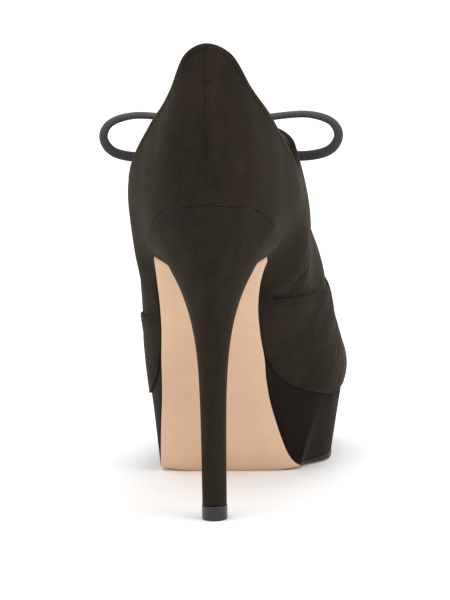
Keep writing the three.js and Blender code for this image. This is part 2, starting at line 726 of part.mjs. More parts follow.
function heelTipGeometry() {
  const rings = [0, HEEL_TIP_HEIGHT].map((z) => {
    const half = stemRing(HEEL_TIP_WIDTH, HEEL_TIP_DEPTH, HEEL_TIP_CENTRE, z, TIP_POINTS, TIP_TURN);
    const other = half.map((p) => new THREE.Vector3(-p.x, p.y, p.z));
    return ringOf(half, other, []);
  });
  return ringSolid(rings, TIP_POINTS, 0);
}

// Tongue: it lies under the facings and stands a little above them
function rowAtHalf(place, half, side) {
  const centre = bottomEdge(alongAt(place)).centre;
  let t = 1;
  while (t > 0.3 && Math.abs(lastPoint(place, t, side).x - centre) < half) {
    t -= 0.004;
  }
  return t;
}

const TONGUE_COLUMNS = 5;
const TONGUE_STEPS = 11;
const TONGUE_TAPER = 0.75;
const TONGUE_JOIN = 1;
const TONGUE_TOP = [
  { share: 0.45, width: 0.92 },
  { share: 0.8, width: 0.78 },
  { share: 1.0, width: 0.55 },
];

function tongueRow(place, half, depth) {
  const sides = {};
  for (const side of [-1, 1]) {
    const low = rowAtHalf(place, half, side);
    sides[side] = [];
    for (let j = 0; j < TONGUE_COLUMNS; j += 1) {
      sides[side].push(shell(place, mix(low, 1, j / (TONGUE_COLUMNS - 1)), side, -depth));
    }
  }
  const right = sides[1].reverse();
  if (right[0].distanceTo(sides[-1][TONGUE_COLUMNS - 1]) < TONGUE_JOIN) {
    const join = right[0].clone().add(sides[-1][TONGUE_COLUMNS - 1]).multiplyScalar(0.5);
    right[0].copy(join).x += TONGUE_JOIN / 2;
    sides[-1][TONGUE_COLUMNS - 1].copy(join).x -= TONGUE_JOIN / 2;
  }
  return [...sides[-1], ...right];
}

function tongueGeometry() {
  const upper = [];
  const lower = [];
  const outerDepth = UPPER_WALL + CLEARANCE;
  const innerDepth = outerDepth + TONGUE_THICKNESS;
  const first = placeOf(FACING_TOP);
  const last = placeOf(THROAT_END) + 2;
  const half = TONGUE_WIDTH / 2;
  const rows = (depth) => {
    const result = [];
    for (let i = 0; i <= TONGUE_STEPS; i += 1) {
      const share = i / TONGUE_STEPS;
      const place = mix(first, last, share);
      const drop = TONGUE_DROP * (1 - clamp(3 * share, 0, 1)) + TONGUE_TOE_DROP * share;
      result.push(tongueRow(place, half * mix(1, TONGUE_TAPER, share), depth + drop));
    }
    const rise = result[0][TONGUE_COLUMNS].clone().sub(result[1][TONGUE_COLUMNS]).normalize();
    rise.y -= TONGUE_LEAN;
    rise.normalize();
    const centre = bottomEdge(FACING_TOP).centre;
    for (const { share, width } of TONGUE_TOP) {
      const row = tongueRow(first, half, depth + TONGUE_DROP).map((p) => {
        const moved = p.clone().addScaledVector(rise, TONGUE_RISE * share);
        moved.x = centre + (moved.x - centre) * width;
        return moved;
      });
      result.unshift(row);
    }
    return result;
  };
  upper.push(...rows(outerDepth));
  lower.push(...rows(innerDepth));
  return plate(upper, lower);
}

// Lace: holes in both facings, crossings over the tongue, and a bow
const FIRST_HOLE = 0.45;
const HOLE_RUN = 0.93;
const HOLE_CUT = 5;
const CROSSING_TURN = 0.3;
const CROSSING_STEPS = 5;

function facingHole(pair, side) {
  const share = (pair + FIRST_HOLE) / LACE_PAIRS;
  const place = mix(placeOf(FACING_TOP), placeOf(THROAT_END), share * HOLE_RUN);
  const edge = lastPoint(place, 1, side);
  let t = 1;
  while (t > 0.4 && lastPoint(place, t, side).distanceTo(edge) < LACE_HOLE_INSET) {
    t -= 0.002;
  }
  return { place, t, side };
}

function roundShape(diameter, sides) {
  const shape = new THREE.Shape();
  for (let i = 0; i < sides; i += 1) {
    const angle = (2 * Math.PI * i) / sides;
    const x = (diameter / 2) * Math.cos(angle);
    const y = (diameter / 2) * Math.sin(angle);
    if (i === 0) {
      shape.moveTo(x, y);
    } else {
      shape.lineTo(x, y);
    }
  }
  shape.closePath();
  return shape;
}

function cord(points, steps) {
  const curve = new THREE.CatmullRomCurve3(points, false, 'centripetal');
  const shape = roundShape(LACE_DIAMETER, 8);
  const geometry = new THREE.ExtrudeGeometry(shape, { steps, bevelEnabled: false, extrudePath: curve });
  return mergeVertices(new THREE.BufferGeometry().copy(bare(geometry)), MERGE);
}

function bare(geometry) {
  geometry.deleteAttribute('normal');
  geometry.deleteAttribute('uv');
  return geometry;
}

const laceLift = LACE_DIAMETER / 2 + 2 * CLEARANCE;

function crossing(from, to) {
  const middle = (from.place + to.place) / 2;
  const start = shell(from.place, from.t, from.side, laceLift);
  const end = shell(to.place, to.t, to.side, laceLift);
  const near = shell(mix(from.place, to.place, CROSSING_TURN), 1, from.side, laceLift);
  const far = shell(mix(to.place, from.place, CROSSING_TURN), 1, to.side, laceLift);
  const top = shell(middle, 1, from.side, laceLift);
  top.add(shell(middle, 1, to.side, laceLift)).multiplyScalar(0.5);
  return cord([start, near, top, far, end], CROSSING_STEPS);
}

function laceCrossingsGeometry() {
  const tubes = [];
  for (let pair = 0; pair < LACE_PAIRS - 1; pair += 1) {
    tubes.push(crossing(facingHole(pair, -1), facingHole(pair + 1, 1)));
    tubes.push(crossing(facingHole(pair, 1), facingHole(pair + 1, -1)));
  }
  tubes.push(crossing(facingHole(0, -1), facingHole(0, 1)));
  const joined = tubes.map(toManifold).reduce((a, b) => a.add(b));
  return fromManifold(joined);
}

function cutLaceHoles(geometry) {
  let body = toManifold(geometry);
  for (let pair = 0; pair < LACE_PAIRS; pair += 1) {
    for (const side of [-1, 1]) {
      const hole = facingHole(pair, side);
      const centre = shell(hole.place, hole.t, side, 0);
      const axis = lastNormal(hole.place, hole.t, side);
      const pin = new THREE.CylinderGeometry(LACE_HOLE / 2, LACE_HOLE / 2, UPPER_WALL * HOLE_CUT, 10);
      pin.applyQuaternion(new THREE.Quaternion().setFromUnitVectors(new THREE.Vector3(0, 1, 0), axis));
      pin.translate(centre.x, centre.y, centre.z);
      body = body.subtract(toManifold(pin));
    }
  }
  return fromManifold(body);
}

const shoe = new THREE.Group();
shoe.name = 'shoe';

function add(name, geometry, colour, roughness, metalness = 0) {
  const material = new THREE.MeshStandardMaterial({ color: colour, roughness, metalness });
  const mesh = new THREE.Mesh(geometry, material);
  mesh.name = name;
  geometry.translate(0, -HEEL_TIP_CENTRE, 0);
  shoe.add(mesh);
}

const SUEDE = 0x3a302a;
const LEATHER = 0xdcb896;
const LINING = 0x9a7f66;
const PLASTIC = 0x161413;
const LACE = 0x3c3a37;

// The bow lies in front of the top of the facings: out is sideways from the knot, in millimetres
const BOW = new THREE.Vector3(0, 102.8, 148.6);
const KNOT = new THREE.Vector3(4.2, 2.6, 3.6);
const LOOP_ROUTE = [
  { out: 4.1, ahead: 0.2, up: 1.7 },
  { out: 14, ahead: 2.0, up: 4.6 },
  { out: 26, ahead: 2.6, up: 6.4 },
  { out: 37.5, ahead: 2.8, up: 6.8 },
  { out: 46.8, ahead: 3.0, up: 3.8 },
  { out: 50.0, ahead: 3.2, up: -2.3 },
  { out: 46.2, ahead: 3.2, up: -8.4 },
  { out: 37, ahead: 3.0, up: -10.8 },
  { out: 26, ahead: 3.2, up: -10.2 },
  { out: 14, ahead: 3.0, up: -6.2 },
  { out: 4.1, ahead: 0.4, up: -1.9 },
];
const END_ROUTE = [
  { out: 2.2, ahead: 1.0, up: -3.8 },
  { out: 5, ahead: 7.0, up: -8.6 },
  { out: 8.5, ahead: 10.6, up: -14.6 },
  { out: 11.5, ahead: 14.5, up: -20.6 },
  { out: 13.5, ahead: 18, up: -26.6 },
  { out: 15, ahead: 21.5, up: -32.6 },
];
const LOOP_STEPS = 24;
const END_STEPS = 9;

function fromBow(route, side) {
  return route.map(({ out, ahead, up }) => new THREE.Vector3(side * out, ahead, up).add(BOW));
}

function knotGeometry() {
  const knot = new THREE.SphereGeometry(1, 10, 6);
  knot.scale(KNOT.x, KNOT.y, KNOT.z);
  knot.translate(BOW.x, BOW.y, BOW.z);
  return mergeVertices(bare(knot), MERGE);
}

add('upper', cutLaceHoles(upperGeometry()), SUEDE, 0.95);
add('insole', insoleGeometry(), LINING, 0.7);
add('outsole', outsoleGeometry(), LEATHER, 0.45);
add('platform', platformGeometry(), SUEDE, 0.95);
add('heel', heelGeometry(), SUEDE, 0.95);
add('heel_tip', heelTipGeometry(), PLASTIC, 0.25);
add('tongue', tongueGeometry(), SUEDE, 0.95);
add('lace_crossings', laceCrossingsGeometry(), LACE, 0.85);
add('lace_knot', knotGeometry(), LACE, 0.85);
add('lace_loop_left', cord(fromBow(LOOP_ROUTE, -1), LOOP_STEPS), LACE, 0.85);
add('lace_loop_right', cord(fromBow(LOOP_ROUTE, 1), LOOP_STEPS), LACE, 0.85);
add('lace_end_left', cord(fromBow(END_ROUTE, -1), END_STEPS), LACE, 0.85);
add('lace_end_right', cord(fromBow(END_ROUTE, 1), END_STEPS), LACE, 0.85);

export default shoe;
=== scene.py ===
import math

import bmesh
import bpy
from mathutils import Matrix, Quaternion, Vector, noise
from mathutils.bvhtree import BVHTree
from mathutils.kdtree import KDTree


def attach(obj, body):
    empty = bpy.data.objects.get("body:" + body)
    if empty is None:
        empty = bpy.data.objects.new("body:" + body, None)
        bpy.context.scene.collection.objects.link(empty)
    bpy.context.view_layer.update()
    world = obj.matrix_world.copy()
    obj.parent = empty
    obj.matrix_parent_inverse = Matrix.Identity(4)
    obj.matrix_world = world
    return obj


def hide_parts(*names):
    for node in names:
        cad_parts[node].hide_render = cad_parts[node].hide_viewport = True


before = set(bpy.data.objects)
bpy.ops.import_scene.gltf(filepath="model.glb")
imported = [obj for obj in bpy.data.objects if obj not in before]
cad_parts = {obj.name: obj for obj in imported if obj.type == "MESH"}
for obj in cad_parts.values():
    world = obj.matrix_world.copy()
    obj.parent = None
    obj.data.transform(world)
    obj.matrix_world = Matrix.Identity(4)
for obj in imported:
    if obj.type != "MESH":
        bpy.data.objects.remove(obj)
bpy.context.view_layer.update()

MM = 0.001


# Camera: a long lens behind the heel, a little above it and turned to the inner side of the foot.
# The frame leans by less than a degree, as the photograph does.
CAMERA_PLACE = Vector((93.2, -1731.8, 366.1)) * MM
CAMERA_AIM = Vector((3.1, 46.0, 83.2)) * MM
CAMERA_ROLL = math.radians(-0.8)
LENS_TO_WIDTH = 9.62
SENSOR_WIDTH = 36.0

forward = (CAMERA_AIM - CAMERA_PLACE).normalized()
right = forward.cross(Vector((0, 0, 1))).normalized()
right = Quaternion(forward, -CAMERA_ROLL) @ right
above = right.cross(forward)
lens = bpy.data.cameras.new("camera")
lens.sensor_fit = "HORIZONTAL"
lens.sensor_width = SENSOR_WIDTH
lens.lens = SENSOR_WIDTH * LENS_TO_WIDTH
lens.clip_end = 40
camera = bpy.data.objects.new("camera", lens)
turn = Matrix((right, above, -forward)).transposed().to_4x4()
camera.matrix_world = Matrix.Translation(CAMERA_PLACE) @ turn
bpy.context.scene.collection.objects.link(camera)
bpy.context.scene.camera = camera


# Studio: a pale floor that runs out of the frame, a wide soft light overhead, one softbox on each side
# of the heel, and one beyond the toe that grazes the nap on the edges.
FLOOR_SIZE = 24.0
FLOOR_WHITE = (0.93, 0.93, 0.93, 1)
SOFTBOXES = [
    ("overhead", (0.0, -0.3, 2.4), (0.0, 0.05, 0.0), 2.6, 45),
    ("left", (-2.0, -1.5, 1.2), (0.0, 0.05, 0.1), 1.3, 10),
    ("right", (2.1, -1.1, 1.3), (0.0, 0.05, 0.1), 1.3, 16),
    ("front", (0.5, 2.6, 1.5), (0.0, 0.05, 0.1), 1.6, 22),
]
WORLD_WHITE = (1, 1, 1, 1)
WORLD_STRENGTH = 0.68


def wire(tree, kind, inputs=None, **settings):
    """One shader node: its settings, then each input as a value or as another node's output"""
    node = tree.nodes.new("ShaderNode" + kind)
    for name, value in settings.items():
        setattr(node, name, value)
    for name, value in (inputs or {}).items():
        if isinstance(value, bpy.types.NodeSocket):
            tree.links.new(value, node.inputs[name])
        else:
            node.inputs[name].default_value = value
    return node


def new_material(name, colour, roughness):
    material = bpy.data.materials.new(name)
    material.use_nodes = True
    material.diffuse_color = (*colour[:3], 1)
    surface = material.node_tree.nodes["Principled BSDF"]
    surface.inputs["Base Color"].default_value = (*colour[:3], 1)
    surface.inputs["Roughness"].default_value = roughness
    return material, material.node_tree, surface


shape = bmesh.new()
bmesh.ops.create_grid(shape, x_segments=1, y_segments=1, size=FLOOR_SIZE / 2)
floor_mesh = bpy.data.meshes.new("floor")
shape.to_mesh(floor_mesh)
shape.free()
floor = bpy.data.objects.new("floor", floor_mesh)
floor_mesh.materials.append(new_material("studio_floor", FLOOR_WHITE, 0.9)[0])
bpy.context.scene.collection.objects.link(floor)
for name, place, aim, size, power in SOFTBOXES:
    light = bpy.data.lights.new(name, "AREA")
    light.size = size
    light.energy = power
    lamp = bpy.data.objects.new(name, light)
    lamp.location = place
    lamp.rotation_euler = (Vector(aim) - Vector(place)).to_track_quat("-Z", "Y").to_euler()
    bpy.context.scene.collection.objects.link(lamp)
world = bpy.data.worlds.new("studio")
world.use_nodes = True
world.node_tree.nodes["Background"].inputs["Color"].default_value = WORLD_WHITE
world.node_tree.nodes["Background"].inputs["Strength"].default_value = WORLD_STRENGTH
bpy.context.scene.world = world
bpy.context.scene.view_settings.view_transform = "Standard"
bpy.context.scene.view_settings.look = "None"


# Outsole: one piece of pale vegetable-tanned leather, moulded down the waist and cemented on, from the
# heel breast to the toe. Its face is polished smooth, and its cut edge is inked as dark as the suede.
SOLE_PALE = (0.71, 0.475, 0.315)
SOLE_DEEP = (0.63, 0.405, 0.260)
INK = (0.018, 0.013, 0.010)
# An edge of the CAD mesh that turns more than this stays sharp
SHARP = math.radians(34)
# Welding distance, the angle up to which a finished surface shades smooth, and the rounding's levels
WELD = 0.002 * MM
SMOOTH = math.radians(50)
ROUNDING = 2
# Where the sole lies flat, forward of this place, all but its underside is inked. Behind it, only the
# faces that look sideways more than this are.
FLAT_START = 101 * MM
EDGE_FACING = 0.6


def quad_copy(node):
    """A welded copy of a CAD node's mesh, in four-sided faces, with its sharp edges creased"""
    copy = bmesh.new()
    copy.from_mesh(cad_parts[node].data)
    bmesh.ops.remove_doubles(copy, verts=copy.verts, dist=WELD)
    bmesh.ops.join_triangles(copy, faces=copy.faces, angle_face_threshold=SHARP,
                             angle_shape_threshold=math.pi)
    crease = copy.edges.layers.float.new("crease_edge")
    for edge in copy.edges:
        if edge.is_manifold and edge.calc_face_angle() > SHARP:
            edge[crease] = 1.0
    return copy


def shown_mesh(piece):
    """The mesh that a piece's modifiers give"""
    piece.data.update()
    bpy.context.view_layer.update()
    graph = bpy.context.evaluated_depsgraph_get()
    return bpy.data.meshes.new_from_object(piece.evaluated_get(graph))


def finished(name, copy, levels=0):
    """A linked object for a bmesh, subdivided so that its surface still runs close to the mesh's points"""
    mesh = bpy.data.meshes.new(name)
    copy.to_mesh(mesh)
    copy.free()
    piece = bpy.data.objects.new(name, mesh)
    bpy.context.scene.collection.objects.link(piece)
    if levels:
        fine = piece.modifiers.new("fine", "SUBSURF")
        fine.levels = levels
        fine.render_levels = levels
        # The finer mesh keeps the points of the coarse one first, so each is moved out by what it lost
        for vert, sunk in zip(mesh.vertices, shown_mesh(piece).vertices):
            vert.co += vert.co - sunk.co
        rounded = shown_mesh(piece)
        piece.modifiers.clear()
        piece.data = rounded
    for face in piece.data.polygons:
        face.use_smooth = True
    piece.data.set_sharp_from_angle(angle=SMOOTH)
    return piece


def dress(piece, slot, *materials):
    for material in materials:
        piece.data.materials.append(material)
    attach(piece, "root")


def leather_grain():
    """Pores and fine wrinkles of smooth leather, with a slow change of colour"""
    group = bpy.data.node_groups.new("leather_grain", "ShaderNodeTree")
    group.interface.new_socket("Pale", in_out="INPUT", socket_type="NodeSocketColor")
    group.interface.new_socket("Deep", in_out="INPUT", socket_type="NodeSocketColor")
    group.interface.new_socket("Grain Scale", in_out="INPUT", socket_type="NodeSocketFloat")
    group.interface.new_socket("Color", in_out="OUTPUT", socket_type="NodeSocketColor")
    group.interface.new_socket("Gloss", in_out="OUTPUT", socket_type="NodeSocketFloat")
    group.interface.new_socket("Height", in_out="OUTPUT", socket_type="NodeSocketFloat")
    enter = group.nodes.new("NodeGroupInput")
    leave = group.nodes.new("NodeGroupOutput")
    place = group.nodes.new("ShaderNodeTexCoord").outputs["Object"]
    cloud = wire(group, "TexNoise", {"Vector": place, "Scale": 22.0, "Detail": 4.0, "Roughness": 0.6})
    pores = wire(group, "TexVoronoi", {"Vector": place, "Scale": enter.outputs["Grain Scale"]},
                 feature="DISTANCE_TO_EDGE")
    fibres = wire(group, "TexNoise", {"Vector": place, "Scale": 420.0, "Detail": 3.0})
    tone = wire(group, "MapRange", {"Value": cloud.outputs["Fac"], "From Min": 0.35, "From Max": 0.7})
    colour = wire(group, "Mix", {0: tone.outputs["Result"], 6: enter.outputs["Pale"],
                                 7: enter.outputs["Deep"]}, data_type="RGBA")
    gloss = wire(group, "MapRange", {"Value": fibres.outputs["Fac"], "To Min": 0.36, "To Max": 0.56})
    pit = wire(group, "Math", {0: pores.outputs["Distance"], 1: 0.35}, operation="MINIMUM")
    height = wire(group, "Math", {0: pit.outputs["Value"], 1: fibres.outputs["Fac"]}, operation="ADD")
    group.links.new(colour.outputs[2], leave.inputs["Color"])
    group.links.new(gloss.outputs["Result"], leave.inputs["Gloss"])
    group.links.new(height.outputs["Value"], leave.inputs["Height"])
    return group


grain_group = leather_grain()


def smooth_leather(name, pale, deep, grain_scale, relief, coat):
    material, tree, surface = new_material(name, pale, 0.45)
    grain = tree.nodes.new("ShaderNodeGroup")
    grain.node_tree = grain_group
    grain.inputs["Pale"].default_value = (*pale, 1)
    grain.inputs["Deep"].default_value = (*deep, 1)
    grain.inputs["Grain Scale"].default_value = grain_scale
    bump = wire(tree, "Bump", {"Height": grain.outputs["Height"], "Distance": relief, "Strength": 0.6})
    tree.links.new(grain.outputs["Color"], surface.inputs["Base Color"])
    tree.links.new(grain.outputs["Gloss"], surface.inputs["Roughness"])
    tree.links.new(bump.outputs["Normal"], surface.inputs["Normal"])
    surface.inputs["Coat Weight"].default_value = coat
    surface.inputs["Coat Roughness"].default_value = 0.35
    return material


sole_leather = smooth_leather("sole_leather", SOLE_PALE, SOLE_DEEP, 1500.0, 0.00003, 0.12)
sole_ink, _, surface = new_material("sole_ink", INK, 0.5)
surface.inputs["Specular IOR Level"].default_value = 0.2
sole_shape = quad_copy("outsole")
sole_shape.normal_update()
for face in sole_shape.faces:
    if face.calc_center_median().y > FLAT_START:
        on_edge = face.normal.z > -EDGE_FACING
    else:
        on_edge = abs(face.normal.x) > EDGE_FACING
    face.material_index = 1 if on_edge else 0
outsole = finished("sole", sole_shape, ROUNDING)
dress(outsole, "sole_leather", sole_leather, sole_ink)
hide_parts("outsole")


# Platform: a light board under the forefoot, wrapped in the same suede as the upper and drawn tight
# round its edge, so only the nap and a fine line above and below it show.
SUEDE_DEEP = (0.0095, 0.0072, 0.0055)
SUEDE_PALE = (0.0330, 0.0240, 0.0172)
NAP_SCALE = 1150.0
SEAM_REACH = 0.7 * MM
# The platform's suede is painted at this share of the upper's suede colour: painted shade.
PLATFORM_PAINTED_SHADE = 0.6


def suede_nap():
    """Short brushed fibres: cloudy patches where the nap lies another way, and a fine pile over them"""
    group = bpy.data.node_groups.new("suede_nap", "ShaderNodeTree")
    group.interface.new_socket("Deep", in_out="INPUT", socket_type="NodeSocketColor")
    group.interface.new_socket("Pale", in_out="INPUT", socket_type="NodeSocketColor")
    group.interface.new_socket("Pile Scale", in_out="INPUT", socket_type="NodeSocketFloat")
    group.interface.new_socket("Color", in_out="OUTPUT", socket_type="NodeSocketColor")
    group.interface.new_socket("Height", in_out="OUTPUT", socket_type="NodeSocketFloat")
    enter = group.nodes.new("NodeGroupInput")
    leave = group.nodes.new("NodeGroupOutput")
    place = group.nodes.new("ShaderNodeTexCoord").outputs["Object"]
    brushed = wire(group, "Mapping", {"Vector": place, "Rotation": (0.5, 0.2, 0.3), "Scale": (1, 0.7, 0.45)})
    cloud = wire(group, "TexNoise", {"Vector": brushed.outputs["Vector"], "Scale": 60.0, "Detail": 5.0,
                                     "Roughness": 0.62, "Distortion": 0.6})
    strokes = wire(group, "TexNoise", {"Vector": brushed.outputs["Vector"], "Scale": 260.0, "Detail": 4.0,
                                       "Roughness": 0.7})
    pile = wire(group, "TexNoise", {"Vector": place, "Scale": enter.outputs["Pile Scale"], "Detail": 3.0,
                                    "Roughness": 0.75})
    patch = wire(group, "MapRange", {"Value": cloud.outputs["Fac"], "From Min": 0.34, "From Max": 0.68})
    stroke = wire(group, "MapRange", {"Value": strokes.outputs["Fac"], "From Min": 0.3, "From Max": 0.72})
    speck = wire(group, "MapRange", {"Value": pile.outputs["Fac"], "From Min": 0.3, "From Max": 0.72})
    first = wire(group, "Mix", {0: 0.42, 2: patch.outputs["Result"], 3: stroke.outputs["Result"]})
    second = wire(group, "Mix", {0: 0.38, 2: first.outputs[0], 3: speck.outputs["Result"]})
    colour = wire(group, "Mix", {0: second.outputs[0], 6: enter.outputs["Deep"],
                                 7: enter.outputs["Pale"]}, data_type="RGBA")
    height = wire(group, "Mix", {0: 0.55, 2: strokes.outputs["Fac"], 3: pile.outputs["Fac"]})
    group.links.new(colour.outputs[2], leave.inputs["Color"])
    group.links.new(height.outputs[0], leave.inputs["Height"])
    return group


nap_group = suede_nap()


def suede(name, seams=False, lift=1.0):
    material, tree, surface = new_material(name, SUEDE_PALE, 0.92)
    nap = tree.nodes.new("ShaderNodeGroup")
    nap.node_tree = nap_group
    # The lift scales the suede's colours: below 1 it paints shade, above 1 it paints light.
    nap.inputs["Deep"].default_value = (*[lift * value for value in SUEDE_DEEP], 1)
    nap.inputs["Pale"].default_value = (*[lift * value for value in SUEDE_PALE], 1)
    nap.inputs["Pile Scale"].default_value = NAP_SCALE
    colour = nap.outputs["Color"]
    normal = wire(tree, "Bump", {"Height": nap.outputs["Height"], "Distance": 0.00028, "Strength": 0.75})
    if seams:
        away = wire(tree, "Attribute", attribute_name="seam_distance")
        groove = wire(tree, "MapRange", {"Value": away.outputs["Fac"], "From Max": SEAM_REACH},
                      interpolation_type="SMOOTHSTEP")
        dark = wire(tree, "MapRange", {"Value": groove.outputs["Result"], "To Min": 0.5})
        colour = wire(tree, "Mix", {0: 1.0, 6: colour, 7: dark.outputs["Result"]}, data_type="RGBA",
                      blend_type="MULTIPLY").outputs[2]
        normal = wire(tree, "Bump", {"Height": groove.outputs["Result"], "Distance": 0.0002,
                                     "Strength": 0.6, "Normal": normal.outputs["Normal"]})
    tree.links.new(colour, surface.inputs["Base Color"])
    tree.links.new(normal.outputs["Normal"], surface.inputs["Normal"])
    surface.inputs["Specular IOR Level"].default_value = 0.06
    surface.inputs["Sheen Weight"].default_value = 0.10
    surface.inputs["Sheen Roughness"].default_value = 0.45
    surface.inputs["Sheen Tint"].default_value = (0.62, 0.52, 0.44, 1)
    return material


plain_suede = suede("suede")
platform = finished("platform_cover", quad_copy("platform"), ROUNDING)
dress(platform, "suede", suede("platform_suede_painted_shade", lift=PLATFORM_PAINTED_SHADE))
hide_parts("platform")


# Insole: the board that the upper is lasted over, under a sock of tan glove leather that is glued down
# and rolls over the board's edge.
SOCK_PALE = (0.40, 0.27, 0.17)
SOCK_DEEP = (0.33, 0.21, 0.13)

sock_leather = smooth_leather("sock_leather", SOCK_PALE, SOCK_DEEP, 900.0, 0.00006, 0.05)
insole = finished("insole_sock", quad_copy("insole"), ROUNDING)
dress(insole, "lining", sock_leather)
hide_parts("insole")


# Heel: a slim moulded block screwed through the seat, wrapped in suede from the breast round the back
# with its edges turned in under the seat.
heel = finished("heel_cover", quad_copy("heel"), ROUNDING)
dress(heel, "suede", plain_suede)
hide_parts("heel")


# Heel tip: a moulded top piece of hard black plastic on a steel pin, glossy, with its lower edge broken.
TIP_BLACK = (0.012, 0.011, 0.011)
TIP_EDGE = 0.5 * MM
RIM_TURN = math.radians(70)

tip_shape = quad_copy("heel_tip")
rim = [edge for edge in tip_shape.edges if edge.calc_face_angle() > RIM_TURN]
bmesh.ops.bevel(tip_shape, geom=rim, offset=TIP_EDGE, offset_type="OFFSET", affect="EDGES", segments=3,
                profile=0.5, material=-1)
heel_tip = finished("heel_top_piece", tip_shape)
tip_plastic, tree, surface = new_material("tip_plastic", TIP_BLACK, 0.22)
scuffs = wire(tree, "TexNoise", {"Vector": tree.nodes.new("ShaderNodeTexCoord").outputs["Object"],
                                 "Scale": 900.0, "Detail": 5.0})
rough = wire(tree, "MapRange", {"Value": scuffs.outputs["Fac"], "To Min": 0.12, "To Max": 0.34})
ripple = wire(tree, "Bump", {"Height": scuffs.outputs["Fac"], "Distance": 0.00004, "Strength": 0.3})
tree.links.new(rough.outputs["Result"], surface.inputs["Roughness"])
tree.links.new(ripple.outputs["Normal"], surface.inputs["Normal"])
dress(heel_tip, "tip", tip_plastic)
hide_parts("heel_tip")


# Upper: two suede quarters closed up the back and cut low at the ankles, with the vamp laid over them
# and all of it lasted over the board. A thin leather lining is stitched in along the top line.
LINING_PALE = (0.085, 0.062, 0.045)
LINING_DEEP = (0.060, 0.043, 0.031)
BACK_PEAK = Vector((0, -9, 196)) * MM
VAMP_LIP = Vector((-34, 86, 72.5)) * MM
OTHER_LIP = Vector((43, 86, 82.5)) * MM
INSIDE_POINT = Vector((8, 150, 60)) * MM
TOE_FOOT = Vector((12, 190, 39)) * MM
# Edges that turn more than this bound a wall or a lip, and a run of them has at most so many points
WALL_TURN = math.radians(45)
LONGEST_RUN = 600
# A lace hole's wall has at least so many faces, none farther than this from its middle
HOLE_FACES = 8
HOLE_REACH = 4 * MM
# How far the vamp's lips are kept from the top line and the sole, and the back seam's place and end
LIP_MARGIN = 5 * MM
BACK_SEAM = -0.6 * MM
BACK_SEAM_END = -4 * MM
TROUGH_STEP = 2 * MM
SEAM_STEP = 0.4 * MM
# The troughs press toward a line low inside the shoe: its share of the width, its slope and its height
PRESS_ASIDE = 0.15
PRESS_SLOPE = 0.5
PRESS_HEIGHT = 45 * MM
LEAST_SINK = 0.02 * MM
SLACK_SCALE = 38
SLACK_DEPTH = 0.22 * MM
# Soft troughs pressed in by wear and lasting: a route over the surface, its depth and its half width
TROUGHS = [
    (((-38, 90, 62), (-34, 101, 82), (-20, 111, 95)), 0.7, 4.5),
    (((-40, 99, 52), (-33, 112, 72), (-14, 121, 88)), 0.6, 4.0),
    (((48, 88, 66), (42, 101, 84), (28, 111, 95)), 0.7, 4.5),
    (((49, 98, 54), (44, 111, 72), (26, 121, 88)), 0.6, 4.0),
    (((-34, 44, 104), (-33, 30, 118), (-27, 12, 128)), 0.5, 6.0),
    (((34, 40, 104), (33, 28, 117), (27, 12, 127)), 0.5, 6.0),
    (((-35, 68, 92), (-36, 58, 108), (-36, 50, 122)), 0.6, 5.5),
    (((40, 70, 96), (38, 60, 110), (36, 52, 123)), 0.6, 5.5),
]


def path_places(route, step):
    """Points along a smooth line through a route, about one step apart, each with its place on the route"""
    ends = [route[0] * 2 - route[1], *route, route[-1] * 2 - route[-2]]
    places = []
    for start, (a, b, c, d) in enumerate(zip(ends, ends[1:], ends[2:], ends[3:])):
        count = max(2, round((c - b).length / step))
        for i in range(count):
            t = i / count
            point = 0.5 * (2 * b + (c - a) * t + (2 * a - 5 * b + 4 * c - d) * t * t
                           + (3 * b - a - 3 * c + d) * t * t * t)
            places.append((point, start + t))
    return [*places, (route[-1], len(route) - 1)]


def path_points(route, step):
    return [point for point, place in path_places(route, step)]


def flood(seed):
    """The faces reached from one face without turning a corner"""
    reached = {seed}
    queue = [seed]
    while queue:
        face = queue.pop()
        for edge in face.edges:
            for other in edge.link_faces:
                if other not in reached and edge.calc_face_angle() < WALL_TURN:
                    reached.add(other)
                    queue.append(other)
    return reached


def edge_run(copy, near):
    """The run of sharp convex edges that passes nearest to a point, as places in order"""
    sharp = [edge for edge in copy.edges if edge.is_convex and edge.calc_face_angle() > WALL_TURN]
    first = min(sharp, key=lambda edge: ((edge.verts[0].co + edge.verts[1].co) / 2 - near).length)
    run = list(first.verts)
    unused = set(sharp) - {first}
    for end in (-1, 0):
        while True:
            tip = run[end]
            last = tip.co - run[-2 if end else 1].co
            onward = [edge for edge in tip.link_edges if edge in unused]
            if not onward:
                break
            follow = max(onward, key=lambda edge: (edge.other_vert(tip).co - tip.co).normalized().dot(last))
            unused.remove(follow)
            other = follow.other_vert(tip)
            if end:
                run.append(other)
            else:
                run.insert(0, other)
            if other is run[0] and other is run[-1] or len(run) > LONGEST_RUN:
                break
        if run[0] is run[-1]:
            break
    return [vert.co.copy() for vert in run]


def clear_of(run, borders, distance):
    """The points of a run that keep a distance from the borders"""
    return [point for point in run if min((point - other).length for other in borders) > distance]


def punched_holes(copy):
    """Centres of the holes through the facings, left and right from the top down"""
    copy.verts.index_update()
    left = set(copy.faces)
    centres = []
    while left:
        wall = flood(left.pop())
        left -= wall
        corners = sorted({vert for face in wall for vert in face.verts}, key=lambda vert: vert.index)
        centre = sum((vert.co for vert in corners), Vector()) / len(corners)
        if len(wall) >= HOLE_FACES and all((vert.co - centre).length < HOLE_REACH for vert in corners):
            centres.append(centre)
    centres.sort(key=lambda centre: -centre.z)
    return [sorted(pair, key=lambda centre: centre.x) for pair in zip(centres[::2], centres[1::2])]


